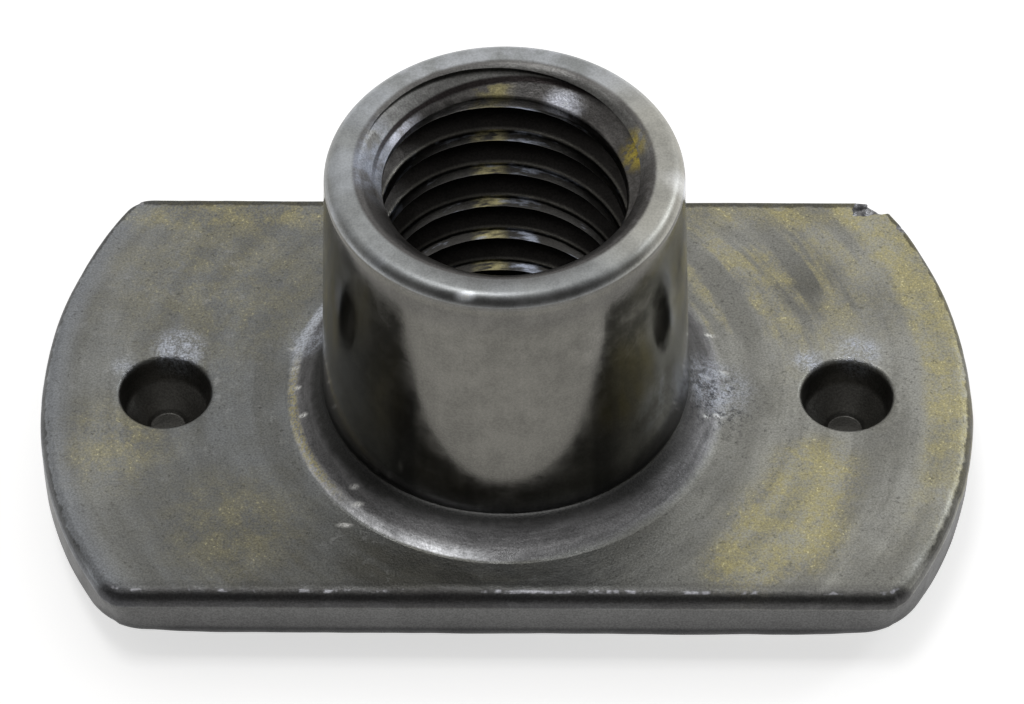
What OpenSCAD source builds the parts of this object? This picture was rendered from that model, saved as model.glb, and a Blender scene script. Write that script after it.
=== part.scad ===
// Tee weld nut in plain steel, formed cold from one piece: a plate cut from a
// round with two straight edges, a barrel drawn up out of its middle and tapped
// right through, and two weld projections pushed down out of the tabs. Each
// projection leaves a blind punched pocket on the barrel's side.
// Millimetres. Z points up along the bore towards the barrel's mouth, X runs
// along the plate. The origin is on the bore's axis, level with the tips of the
// projections, which is where the sheet to be welded lies.

/* [Plate] */
// Length over the round ends
plate_l = 31.75; // [29:0.25:36]
// Width over the straight edges
plate_w = 18; // [17.6:0.1:20]
// Thickness of the plate
plate_t = 2.28; // [2:0.02:2.6]
// Plan radius of the four corners
corner_r = 1.1; // [0.9:0.1:2]
// Rounding of the upper edge
upper_edge_r = 0.55; // [0.3:0.05:0.7]
// Roll of the lower edge, left by the blanking die
lower_edge_r = 0.65; // [0.3:0.05:0.8]

/* [Barrel] */
// Height of the rim above the underside of the plate
barrel_h = 13.3; // [11:0.1:15]
// Outside diameter at the rim, before its edge is rounded
rim_d = 11.72; // [11.6:0.02:12]
// Draft of the outside wall, each side, in degrees
barrel_draft = 2; // [0.5:0.1:2]
// Rounding of the rim's outer edge
rim_edge_r = 0.55; // [0.3:0.05:0.7]
// Radius of the fillet between the wall and the plate
fillet_r = 1.65; // [1.3:0.05:1.8]
// Dip of the fillet's circle below the top of the plate, which it meets at a crease
fillet_dip = 0.04; // [0.02:0.01:0.08]

/* [Thread] */
// Minor diameter of the 3/8-16 thread, at its crests
minor_d = 8; // [7.8:0.01:8.15]
// Diameter of the countersink at the rim
mouth_d = 9.58; // [9.4:0.02:9.8]
// Diameter of the lead-in under the plate
lead_d = 10; // [9.6:0.1:10.6]

/* [Weld projections] */
// Distance between the two projections
projection_gap = 23.15; // [22:0.05:23.6]
// Diameter of a projection where it leaves the plate
projection_d = 4; // [3.4:0.1:4.4]
// Height of a projection
projection_h = 1; // [0.7:0.05:1.2]
// Diameter of a pocket at the top of the plate
pocket_d = 3; // [2.6:0.1:3.4]
// Width of the worn lip round a pocket
pocket_lip = 0.14; // [0.05:0.01:0.2]
// Depth of a pocket
pocket_depth = 1.85; // [1.4:0.05:1.9]
// Diameter of a pocket's floor
pocket_floor_d = 1.2; // [0.8:0.1:1.8]

/* [Hidden] */
$fn = 96;
// Overlap that keeps joined and cut faces from lying in one plane
lap = 0.2;

// Heights
under_z = projection_h;
top_z = under_z + plate_t;
rim_z = under_z + barrel_h;

// Plan of the plate
end_r = plate_l / 2;
corner_y = plate_w / 2 - corner_r;
corner_x = sqrt(pow(end_r - corner_r, 2) - pow(corner_y, 2));
corner_angle = atan2(corner_y, corner_x);

// Wall of the barrel: its radius at a height, and its outward normal
function wall_r(z) = rim_d / 2 + (rim_z - z) * tan(barrel_draft);
wall_normal = [cos(barrel_draft), sin(barrel_draft)];

// Centres of the fillet at the foot and of the rounding at the rim
fillet_z = top_z - fillet_dip + fillet_r;
fillet_c = [wall_r(fillet_z) + fillet_r / cos(barrel_draft), fillet_z];
rim_edge_z = rim_z - rim_edge_r;
rim_edge_c = [wall_r(rim_edge_z) - rim_edge_r / cos(barrel_draft), rim_edge_z];

// The hub is all that is round about the bore, out to this radius
hub_r = plate_w / 2 - lower_edge_r - 0.2;

// Section of the plate from its middle to its edge, with the rounding of the
// upper edge and the roll of the lower one
module plate_section(outer) {
    difference() {
        translate([0, under_z])
            square([outer, plate_t]);
        translate([outer - upper_edge_r, top_z - upper_edge_r])
            square(upper_edge_r + lap);
        translate([outer - lower_edge_r, under_z - lap])
            square([lower_edge_r + lap, lower_edge_r + lap]);
    }
    translate([outer - upper_edge_r, top_z - upper_edge_r])
        circle(r = upper_edge_r);
    translate([outer - lower_edge_r, under_z + lower_edge_r])
        circle(r = lower_edge_r);
}

// Strip of plate between the two straight edges
module strip() {
    translate([-plate_l, 0, 0])
        rotate([90, 0, 90])
            linear_extrude(height = 2 * plate_l)
                for (side = [0, 1])
                    mirror([side, 0])
                        plate_section(plate_w / 2);
}

// Round disc that gives the plate its ends
module disc() {
    rotate_extrude($fn = 180)
        plate_section(end_r);
}

// Plan of the plate, with its four corners rounded
module plate_plan() {
    square([2 * corner_x, plate_w], center = true);
    for (mx = [-1, 1], my = [-1, 1])
        translate([mx * corner_x, my * corner_y])
            circle(r = corner_r);
    intersection() {
        circle(r = end_r, $fn = 180);
        for (turn = [0, 180])
            rotate(turn)
                polygon([
                    [0, 0],
                    plate_l * [cos(corner_angle), sin(corner_angle)],
                    [2 * plate_l, 0],
                    plate_l * [cos(corner_angle), -sin(corner_angle)]
                ]);
    }
}

module plate() {
    difference() {
        intersection() {
            strip();
            disc();
            linear_extrude(height = rim_z)
                plate_plan();
        }
        translate([0, 0, under_z - lap])
            cylinder(r = hub_r, h = plate_t + 2 * lap, $fn = 180);
    }
}

// Half section of the barrel, its fillet and the middle of the plate
module hub_section() {
    translate([0, under_z])
        square([hub_r, plate_t]);
    polygon([
        [0, under_z],
        [wall_r(under_z), under_z],
        rim_edge_c + rim_edge_r * wall_normal,
        rim_edge_c,
        [rim_edge_c.x, rim_z],
        [0, rim_z]
    ]);
    translate(rim_edge_c)
        circle(r = rim_edge_r);
    difference() {
        polygon([
            [wall_r(top_z) - lap, top_z - lap],
            fillet_c - fillet_r * wall_normal - [lap, 0],
            fillet_c - fillet_r * wall_normal,
            fillet_c,
            [fillet_c.x, top_z - lap]
        ]);
        translate(fillet_c)
            circle(r = fillet_r);
    }
}

// The tapped hole, with its countersink above and its lead-in below
module bore() {
    translate([0, 0, under_z - lap])
        cylinder(d = minor_d, h = barrel_h + 2 * lap);
    translate([0, 0, rim_z - (mouth_d - minor_d) / 2])
        cylinder(d1 = minor_d, d2 = mouth_d + 2 * lap, h = (mouth_d - minor_d) / 2 + lap);
    translate([0, 0, under_z - lap])
        cylinder(d1 = lead_d + 2 * lap, d2 = minor_d, h = (lead_d - minor_d) / 2 + lap);
}

module hub() {
    difference() {
        rotate_extrude($fn = 180)
            hub_section();
        bore();
    }
}

// Blind pocket that the punch leaves above a projection
module pocket() {
    lip_r = pocket_d / 2 + pocket_lip;
    floor_z = top_z - pocket_depth;
    rotate_extrude()
        polygon([
            [0, floor_z],
            [pocket_floor_d / 2, floor_z],
            [pocket_d / 2 - pocket_lip, floor_z + pocket_depth / 2],
            [pocket_d / 2, top_z - pocket_lip],
            [lip_r + lap, top_z + lap],
            [0, top_z + lap]
        ]);
}

// Domed projection, a cap cut from a ball
module projection() {
    ball_r = (pow(projection_d / 2, 2) + pow(projection_h, 2)) / (2 * projection_h);
    intersection() {
        translate([0, 0, ball_r])
            sphere(r = ball_r, $fn = 120);
        cylinder(r = ball_r, h = under_z + lap);
    }
}

module weld_nut() {
    color([0.42, 0.41, 0.38])
        difference() {
            union() {
                plate();
                hub();
                for (side = [-1, 1])
                    translate([side * projection_gap / 2, 0, 0])
                        projection();
            }
            for (side = [-1, 1])
                translate([side * projection_gap / 2, 0, 0])
                    pocket();
        }
}

weld_nut();
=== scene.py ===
"""Tee weld nut in plain steel: a stamped plate, a drawn and tapped barrel, two weld projections.

Shapes are modelled in millimetres, in the frame of the solids, and brought to metres at the end.
"""

import logging
import math
from contextlib import contextmanager
from dataclasses import dataclass, field
from enum import Enum
from typing import Any, Callable, Iterator, Sequence

import bmesh
import bpy
from mathutils import Matrix, Vector, noise


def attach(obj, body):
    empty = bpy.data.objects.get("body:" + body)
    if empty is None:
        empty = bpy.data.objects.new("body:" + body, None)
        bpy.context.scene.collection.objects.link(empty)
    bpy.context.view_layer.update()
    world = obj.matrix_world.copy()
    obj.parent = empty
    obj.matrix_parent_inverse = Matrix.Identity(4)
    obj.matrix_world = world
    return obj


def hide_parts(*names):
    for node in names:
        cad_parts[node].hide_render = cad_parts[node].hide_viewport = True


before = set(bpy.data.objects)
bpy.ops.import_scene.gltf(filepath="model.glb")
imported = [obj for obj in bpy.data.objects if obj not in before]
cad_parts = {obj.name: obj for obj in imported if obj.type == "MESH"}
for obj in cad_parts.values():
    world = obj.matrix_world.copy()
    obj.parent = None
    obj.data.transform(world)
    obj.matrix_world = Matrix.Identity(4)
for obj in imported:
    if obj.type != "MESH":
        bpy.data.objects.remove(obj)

log = logging.getLogger("weld_nut")

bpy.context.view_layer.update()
TO_METRES = 0.001
TAU = math.tau

Place = tuple[float, float, float]
Colour = tuple[float, float, float]
Line = list[tuple[float, float]]

# Height of the sheet's two faces and of the rim, over the tips of the projections
UNDER_Z = 1.0
TOP_Z = 3.28
RIM_Z = 14.299


class Finish(Enum):
    """The two kinds of steel surface on the nut, as material places on its mesh."""

    FORMED = 0
    TORN = 1


class Band(Enum):
    """The stretches of the plate's rim, from the top face down to the underside."""

    ROUNDING = 0
    WALL = 1
    ROLL = 2


# ---------------------------------------------------------------- small sums


def ripple(x: float, y: float, z: float, seed: float = 0.0) -> float:
    """Smooth noise from about -1 to 1 at a point."""
    return noise.noise(Vector((x + 17.3 * seed, y - 5.1 * seed, z + 9.7 * seed)))


def within(value: float) -> float:
    """Keeps a share between 0 and 1."""
    return min(max(value, 0.0), 1.0)


def arc(radius: float, start: float, end: float, count: int) -> Line:
    """Draws an arc of a hollow corner, from the wall outwards and down.

    Args:
        radius: Radius of the arc.
        start: Degrees from upright at which the arc begins.
        end: Degrees from upright at which it ends.
        count: Number of steps.

    Returns:
        The points after the first one, each (across, down) from the first.
    """
    a0, a1 = math.radians(start), math.radians(end)
    turns = [a0 + (a1 - a0) * k / count for k in range(1, count + 1)]
    return [(radius * (math.cos(a0) - math.cos(a)), radius * (math.sin(a0) - math.sin(a))) for a in turns]


def rounded(corners: Sequence[tuple[float, float, float]], step: float = 13.0) -> Line:
    """Rounds the corners of an open line.

    Args:
        corners: Points of the line, each (across, up, radius of its rounding).
        step: Most degrees that one segment of a rounding turns through.

    Returns:
        The points of the rounded line.
    """
    line: Line = []
    last = len(corners) - 1
    for i, (x, z, radius) in enumerate(corners):
        if radius == 0 or i in (0, last):
            line.append((x, z))
            continue
        p = Vector((x, z))
        a = (Vector(corners[i - 1][:2]) - p).normalized()
        b = (Vector(corners[i + 1][:2]) - p).normalized()
        half = a.angle(b) / 2
        middle = p + (a + b).normalized() * radius / math.sin(half)
        spoke = p + a * radius / math.tan(half) - middle
        sweep = math.pi - 2 * half
        count = max(2, math.ceil(math.degrees(sweep) / step))
        way = 1 if a.x * b.y - a.y * b.x < 0 else -1
        for k in range(count + 1):
            angle = way * sweep * k / count
            turned = Vector((spoke.x * math.cos(angle) - spoke.y * math.sin(angle),
                             spoke.x * math.sin(angle) + spoke.y * math.cos(angle)))
            line.append(tuple(middle + turned))
    return line


# ---------------------------------------------------------------- bench work


class Piece:
    """A mesh on the bench, shaped in edit mode with hand tools."""

    def __init__(self, obj: bpy.types.Object, name: str) -> None:
        """Takes an object and names it and its mesh."""
        self.obj = obj
        self.obj.name = self.obj.data.name = name

    @classmethod
    def ring(cls, name: str, count: int, radius: float) -> "Piece":
        """Adds a circle of numbered points.

        Args:
            name: Name of the piece.
            count: Number of points round the circle.
            radius: Radius of the circle.

        Returns:
            The open circle, each point of which keeps its number when it is extruded.
        """
        bpy.ops.mesh.primitive_circle_add(vertices=count, radius=radius, fill_type="NOTHING")
        piece = cls(bpy.context.object, name)
        numbers = piece.obj.data.attributes.new("number", "INT", "POINT")
        numbers.data.foreach_set("value", list(range(count)))
        return piece

    @classmethod
    def drawn(cls, name: str, line: Sequence[tuple[float, float]], along: float = 0.0,
              up: float = 0.0) -> "Piece":
        """Draws a line point by point, upright over the X axis.

        Args:
            name: Name of the piece.
            line: Points (radius, height) of the line.
            along: How far the whole line is shifted along X.
            up: How far it is shifted up.

        Returns:
            The line.
        """
        bpy.ops.mesh.primitive_plane_add(size=1.0)
        piece = cls(bpy.context.object, name)
        with piece.editing():
            bpy.ops.mesh.select_all(action="SELECT")
            bpy.ops.mesh.merge(type="CENTER")
            bpy.ops.transform.translate(value=(along + line[0][0], 0, up + line[0][1]))
            for (r0, z0), (r1, z1) in zip(line, line[1:]):
                bpy.ops.mesh.extrude_vertices_move(
                    TRANSFORM_OT_translate={"value": (r1 - r0, 0, z1 - z0)})
        return piece

    @classmethod
    def turned(cls, name: str, section: Sequence[tuple[float, float]], steps: int,
               centre: float = 0.0) -> "Piece":
        """Draws a half section point by point and spins it about an upright axis.

        Args:
            name: Name of the piece.
            section: Points (radius, height) of the half section.
            steps: Number of steps in the full turn.
            centre: Where the axis stands along X.

        Returns:
            The turned piece.
        """
        piece = cls.drawn(name, section, centre)
        with piece.editing():
            bpy.ops.mesh.select_all(action="SELECT")
            bpy.ops.mesh.spin(steps=steps, angle=TAU, center=(centre, 0, 0), axis=(0, 0, 1))
            piece.close_seams()
        return piece

    def take(self, others: Sequence["Piece"] = ()) -> None:
        """Selects this piece, with any others, and makes it the active one.

        Args:
            others: Pieces that are selected with it.
        """
        bpy.ops.object.select_all(action="DESELECT")
        for piece in (self, *others):
            piece.obj.select_set(True)
        bpy.context.view_layer.objects.active = self.obj

    @contextmanager
    def editing(self) -> Iterator["Piece"]:
        """Opens edit mode on this piece alone, with points as what is selected.

        Returns:
            The piece, for as long as it is edited.
        """
        self.take()
        bpy.ops.object.mode_set(mode="EDIT")
        bpy.ops.mesh.select_mode(type="VERT")
        try:
            yield self
        finally:
            bpy.ops.object.mode_set(mode="OBJECT")

    def close_seams(self, gap: float = 1e-4) -> None:
        """Merges doubled points all over the piece."""
        bpy.ops.mesh.select_all(action="SELECT")
        bpy.ops.mesh.remove_doubles(threshold=gap)

    def face_outwards(self) -> None:
        """Turns every face of the closed piece outwards."""
        bpy.ops.mesh.select_all(action="SELECT")
        bpy.ops.mesh.normals_make_consistent(inside=False)

    def pick_open_edges(self, test: Callable[[Vector], bool]) -> None:
        """Selects the open edges both of whose ends pass a test.

        Args:
            test: Tells whether a place is one of those looked for.
        """
        bpy.ops.mesh.select_all(action="DESELECT")
        bpy.ops.mesh.select_mode(type="EDGE")
        mesh = bmesh.from_edit_mesh(self.obj.data)
        for e in mesh.edges:
            e.select_set(e.is_boundary and all(test(v.co) for v in e.verts))
        mesh.select_flush_mode()
        bmesh.update_edit_mesh(self.obj.data)

    def place(self, where: Callable[[int], Place]) -> None:
        """Moves each selected point to where its number says.

        Args:
            where: Gives the place of a number.
        """
        mesh = bmesh.from_edit_mesh(self.obj.data)
        number = mesh.verts.layers.int["number"]
        for v in mesh.verts:
            if v.select:
                v.co = where(v[number])
        bmesh.update_edit_mesh(self.obj.data)

    def nudge(self, move: Callable[[Vector], Vector]) -> None:
        """Moves every point a little.

        Args:
            move: Gives the move of a point at a place.
        """
        mesh = bmesh.from_edit_mesh(self.obj.data)
        for v in mesh.verts:
            v.co = v.co + move(v.co.copy())
        bmesh.update_edit_mesh(self.obj.data)

    def join(self, others: Sequence["Piece"]) -> None:
        """Joins other pieces into this one."""
        self.take(others)
        bpy.ops.object.join()

    def modify(self, kind: str, **settings: Any) -> None:
        """Adds a modifier and applies it.

        Args:
            kind: Type of the modifier.
            settings: Its settings by name.
        """
        self.take()
        bpy.ops.object.modifier_add(type=kind)
        modifier = self.obj.modifiers[-1]
        for name, value in settings.items():
            setattr(modifier, name, value)
        bpy.ops.object.modifier_apply(modifier=modifier.name)

    def cut(self, tool: "Piece") -> None:
        """Cuts a closed piece away from this one.

        Args:
            tool: The piece, which is removed afterwards.
        """
        self.modify("BOOLEAN", operation="DIFFERENCE", solver="EXACT", object=tool.obj)
        mesh = tool.obj.data
        bpy.data.objects.remove(tool.obj)
        bpy.data.meshes.remove(mesh)

    def finishes(self, kind: Finish) -> None:
        """Gives the piece the nut's places for materials.

        Args:
            kind: Finish of all its faces.
        """
        self.obj.data.materials.clear()
        for finish in Finish:
            self.obj.data.materials.append(SteelFinish.material(finish))
        for face in self.obj.data.polygons:
            face.material_index = kind.value


# ---------------------------------------------------------------- shader sums


class Value:
    """A shader socket that takes part in sums."""

    def __init__(self, tree: "Shader", socket: bpy.types.NodeSocket) -> None:
        """Wraps an output socket of a shader tree."""
        self.tree = tree
        self.socket = socket

    def _math(self, operation: str, *terms: Any) -> "Value":
        """Adds a Math node on these terms."""
        return self.tree.node("ShaderNodeMath", {"operation": operation}, dict(enumerate(terms)))

    def __add__(self, other: Any) -> "Value":
        """Sum."""
        return self._math("ADD", self, other)

    def __radd__(self, other: Any) -> "Value":
        """Sum from the right."""
        return self._math("ADD", other, self)

    def __sub__(self, other: Any) -> "Value":
        """Difference."""
        return self._math("SUBTRACT", self, other)

    def __rsub__(self, other: Any) -> "Value":
        """Difference from the right."""
        return self._math("SUBTRACT", other, self)

    def __mul__(self, other: Any) -> "Value":
        """Product."""
        return self._math("MULTIPLY", self, other)

    def __rmul__(self, other: Any) -> "Value":
        """Product from the right."""
        return self._math("MULTIPLY", other, self)

    def __truediv__(self, other: Any) -> "Value":
        """Quotient."""
        return self._math("DIVIDE", self, other)

    def __rtruediv__(self, other: Any) -> "Value":
        """Quotient from the right."""
        return self._math("DIVIDE", other, self)

    def root(self) -> "Value":
        """Square root."""
        return self._math("SQRT", self)

    def size(self) -> "Value":
        """Value without its sign."""
        return self._math("ABSOLUTE", self)

    def ramp(self, low: Any, high: Any) -> "Value":
        """Smooth step: 0 at low and 1 at high, whichever of them is the larger."""
        return self.tree.node("ShaderNodeMapRange", {"interpolation_type": "SMOOTHSTEP"},
                              {"Value": self, "From Min": low, "From Max": high})

    def band(self, middle: float, outer: float, inner: float) -> "Value":
        """Mask round a value: 1 within the inner distance of it and 0 past the outer one."""
        return (self - middle).size().ramp(outer, inner)


@dataclass(frozen=True)
class Spot:
    """A soft round mark: it is whole within one distance of its middle and gone past another."""

    at: Place
    whole: float
    gone: float
    share: float = 1.0


class Shader:
    """A node tree that is written as sums and calls."""

    def __init__(self, tree: bpy.types.NodeTree) -> None:
        """Empties a node tree."""
        self.tree = tree
        tree.nodes.clear()

    def node(self, kind: str, settings: dict[str, Any] | None = None,
             inputs: dict[Any, Any] | None = None, out: int | str = 0) -> Value:
        """Adds a node.

        Args:
            kind: Type of the node.
            settings: Its own settings, set first.
            inputs: Values or links of its sockets, by name or number.
            out: Output that is returned.

        Returns:
            The output, or the first one.
        """
        node = self.tree.nodes.new(kind)
        for name, value in (settings or {}).items():
            setattr(node, name, value)
        for name, value in (inputs or {}).items():
            if isinstance(value, Value):
                self.tree.links.new(value.socket, node.inputs[name])
            else:
                node.inputs[name].default_value = value
        return Value(self, node.outputs[out] if node.outputs else None)

    def axes(self, at: Value) -> tuple[Value, Value, Value]:
        """Takes a vector apart."""
        outputs = self.node("ShaderNodeSeparateXYZ", None, {0: at}).socket.node.outputs
        return Value(self, outputs[0]), Value(self, outputs[1]), Value(self, outputs[2])

    def vector(self, x: Any, y: Any, z: Any) -> Value:
        """Puts three values together."""
        return self.node("ShaderNodeCombineXYZ", None, {0: x, 1: y, 2: z})

    def mix(self, share: Any, a: Any, b: Any, blend: str = "MIX") -> Value:
        """Mixes two colours.

        Args:
            share: Share of the second colour, kept between 0 and 1.
            a: First colour.
            b: Second colour.
            blend: How the second is laid over the first.

        Returns:
            The mixed colour.
        """
        first, second = ((*c, 1.0) if isinstance(c, tuple) else c for c in (a, b))
        return self.node("ShaderNodeMix", {"data_type": "RGBA", "blend_type": blend},
                         {0: share, 6: first, 7: second}, out=2)

    def dim(self, colour: Any, light: Value) -> Value:
        """Multiplies a colour by a value."""
        return self.mix(1.0, colour, self.vector(light, light, light), "MULTIPLY")

    def grain(self, at: Value, scale: float, detail: float = 3.0, rough: float = 0.55) -> Value:
        """Cloudy noise from 0 to 1 at a point, with a number of features to a millimetre."""
        return self.node("ShaderNodeTexNoise", {"noise_dimensions": "3D"},
                         {"Vector": at, "Scale": scale, "Detail": detail, "Roughness": rough})

    def near(self, at: Value, point: Place, whole: float, gone: float) -> Value:
        """Mask round a point: 1 within the first distance and 0 past the second."""
        gap = self.node("ShaderNodeVectorMath", {"operation": "DISTANCE"}, {0: at, 1: point}, out=1)
        return gap.ramp(gone, whole)

    def spots(self, at: Value, spots: Sequence[Spot]) -> Value:
        """Adds up the masks of several marks, each by its share."""
        masks = [self.near(at, spot.at, spot.whole, spot.gone) * spot.share for spot in spots]
        return sum(masks[1:], masks[0])


# ---------------------------------------------------------------- finishes


# Painted shade on the plate: along the front edge, then behind the right pocket
PAINTED_SHADE_PLACES = (
    Spot((-3.2, -8.5, 3.3), 0.5, 8.5, 0.55),
    Spot((-9.5, -7.8, 3.3), 0.5, 4.0, 0.1925),
    Spot((10.5, 4.5, 3.3), 0.3, 2.4, 0.35),
    Spot((13.0, 4.0, 3.3), 0.3, 2.0, 0.35),
)
# The gold streak before the right pocket
GOLD_STREAK = (
    Spot((10.4, -3.6, 3.3), 0.3, 2.2),
    Spot((9.4, -6.0, 3.3), 0.4, 2.8),
    Spot((7.8, -7.6, 3.3), 0.3, 1.8, 0.8),
)
# Fainter gold on the left half
GOLD_LEFT = (
    Spot((-13.2, -2.4, 3.3), 0.3, 3.0, 0.50),
    Spot((-10.0, 5.5, 3.3), 1.0, 6.5, 0.30),
    Spot((-9.0, -6.0, 3.3), 0.5, 3.5, 0.35),
)
# Where the countersink catches the light
GLINTS = (
    Spot((1.9, 3.6, 13.4), 0.2, 0.9),
    Spot((-3.4, 2.2, 13.4), 0.2, 1.2),
)
# Scuffed places at the foot of the barrel and round the pockets
SCUFFS = (
    Spot((7.1, 0.1, 3.5), 0.3, 2.0, 0.9),
    Spot((-6.7, 2.1, 3.6), 0.3, 1.2, 0.7),
    Spot((12.0, 1.85, 3.3), 0.25, 1.2),
    Spot((-11.2, 1.90, 3.3), 0.25, 1.4),
    Spot((10.30, 1.5, 3.3), 0.1, 0.8),
    Spot((-13.1, 1.1, 3.3), 0.1, 0.7, 0.6),
)
# Small torn burrs round the foot of the barrel, painted as glints: their places, and how strong each glint
# is
BURR_GLINTS = (
    (-7.16, 0.93, 3.36, 0.8), (-7.02, -0.03, 3.45, 0.9), (-6.85, -1.31, 3.55, 1.0),
    (-7.25, 1.9, 3.33, 0.5), (-4.97, -4.55, 3.65, 0.7), (-4.86, -5.15, 3.45, 0.8),
    (-5.30, -5.90, 3.28, 0.9), (6.95, 2.58, 3.34, 0.8), (7.12, -1.13, 3.37, 1.0),
    (6.68, -1.30, 3.55, 0.8), (7.35, 0.9, 3.31, 0.7), (6.75, 0.4, 3.60, 0.6),
)


@dataclass(frozen=True)
class SteelFinish:
    """Plain formed steel under a thin film of drawing oil, or the same steel where it tore."""

    kind: Finish
    # Plate
    steel: Colour = (0.200, 0.208, 0.212)
    bright: Colour = (0.385, 0.385, 0.358)
    dull_and_shade: Colour = (0.130, 0.129, 0.118)
    gold: Colour = (0.44, 0.395, 0.205)
    gold_fleck_glint: Colour = (0.74, 0.70, 0.44)
    cool: Colour = (0.27, 0.29, 0.33)
    pitted: Colour = (0.070, 0.069, 0.062)
    rubbed: Colour = (0.36, 0.365, 0.36)
    brink_shade: Colour = (0.050, 0.049, 0.045)
    # Edge of the plate and pockets
    blanked: Colour = (0.125, 0.124, 0.122)
    low_edge_shade: Colour = (0.062, 0.061, 0.062)
    front_edge_shade: Colour = (0.060, 0.058, 0.060)
    brow_shade: Colour = (0.042, 0.041, 0.044)
    hairline_highlight: Colour = (0.38, 0.38, 0.41)
    rolled: Colour = (0.030, 0.030, 0.031)
    pocket_wall: Colour = (0.150, 0.146, 0.135)
    pocket_floor_shade: Colour = (0.088, 0.086, 0.080)
    # Barrel and its fillet
    drawn: Colour = (0.140, 0.135, 0.121)
    low_wall: Colour = (0.28, 0.278, 0.27)
    soot_and_shade: Colour = (0.041, 0.041, 0.040)
    soot_and_shade_right: Colour = (0.070, 0.070, 0.070)
    soot_and_shade_front: Colour = (0.115, 0.115, 0.114)
    scraped: Colour = (0.165, 0.163, 0.166)
    scraped_front: Colour = (0.28, 0.278, 0.284)
    crease: Colour = (0.22, 0.22, 0.225)
    crescent_highlight: Colour = (0.86, 0.87, 0.90)
    knee_shade: Colour = (0.022, 0.022, 0.022)
    burr: Colour = (0.80, 0.80, 0.78)
    ochre: Colour = (0.30, 0.23, 0.03)
    pale_reflection: Colour = (0.395, 0.385, 0.355)
    pocket_reflection: Colour = (0.045, 0.044, 0.042)
    smear: Colour = (0.30, 0.32, 0.36)
    scuffed: Colour = (0.50, 0.53, 0.60)
    scar: Colour = (0.045, 0.046, 0.052)
    scrape: Colour = (0.55, 0.58, 0.64)
    # Bore and countersink
    cut: Colour = (0.030, 0.028, 0.027)
    blue: Colour = (0.44, 0.48, 0.58)
    sunk: Colour = (0.125, 0.120, 0.118)
    sunk_right: Colour = (0.060, 0.056, 0.052)
    brim: Colour = (0.30, 0.30, 0.29)
    land: Colour = (0.26, 0.25, 0.24)
    glint: Colour = (0.80, 0.82, 0.92)
    yellow: Colour = (0.55, 0.44, 0.08)
    ring_shadow: Colour = (0.034, 0.028, 0.028)
    # Rim
    rim: Colour = (0.37, 0.385, 0.39)
    under_rim_shade: Colour = (0.065, 0.062, 0.065)
    worn_lip: Colour = (0.52, 0.55, 0.60)
    sheen: Colour = (0.92, 0.95, 1.0)
    dim_lip_shade: Colour = (0.15, 0.15, 0.15)
    warm_lip_light: Colour = (0.53, 0.50, 0.41)
    frosty_lip_light: Colour = (0.55, 0.57, 0.62)
    # Torn steel
    torn_dark: Colour = (0.10, 0.10, 0.105)
    torn_bright: Colour = (0.36, 0.36, 0.37)

    @staticmethod
    def material(kind: Finish) -> bpy.types.Material:
        """Gives the material of a finish, made at its first use."""
        name = f"steel_{kind.name.lower()}"
        return bpy.data.materials.get(name) or SteelFinish(kind).build(name)

    def build(self, name: str) -> bpy.types.Material:
        """Makes the material.

        Args:
            name: Name of the material.

        Returns:
            The material, whose patterns are in object coordinates.
        """
        material = bpy.data.materials.new(name)
        material.use_nodes = True
        s = Shader(material.node_tree)
        place = s.node("ShaderNodeTexCoord", out="Object")
        mm = s.node("ShaderNodeVectorMath", {"operation": "SCALE"}, {0: place, "Scale": 1 / TO_METRES})
        colour, rough, height = self.torn(s, mm) if self.kind is Finish.TORN else self.formed(s, mm)
        bump = s.node("ShaderNodeBump", None,
                      {"Strength": 1.0, "Distance": 0.00002, "Height": height})
        shader = s.node("ShaderNodeBsdfPrincipled", None,
                        {"Base Color": colour, "Metallic": 1.0, "Roughness": rough, "Normal": bump})
        s.node("ShaderNodeOutputMaterial", None, {"Surface": shader})
        return material

    def torn(self, s: Shader, mm: Value) -> tuple[Value, Value, Value]:
        """Makes the pattern of bare broken steel.

        Args:
            s: Node tree of the material.
            mm: Place on the nut, in millimetres.

        Returns:
            Colour, roughness and height of the surface.
        """
        fine = s.grain(mm, 2.6, 4.0, 0.6)
        colour = s.mix(fine.ramp(0.35, 0.7), self.torn_dark, self.torn_bright)
        return colour, 0.24 + fine * 0.2, s.grain(mm, 4.0, 4.0, 0.6) * 2.0

    def formed(self, s: Shader, mm: Value) -> tuple[Value, Value, Value]:
        """Makes the pattern of the formed steel, zone by zone.

        Args:
            s: Node tree of the material.
            mm: Place on the nut, in millimetres.

        Returns:
            Colour, roughness and height of the surface.
        """
        coat = FormedCoat(s, mm, self)
        coat.plate()
        coat.gold_film()
        coat.plate_wear()
        coat.foot()
        coat.wall()
        coat.plate_edge()
        coat.thread()
        coat.countersink()
        coat.rim()
        coat.scuffs()
        coat.fine_grain()
        return coat.colour, coat.roughness(), coat.height()


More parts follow.
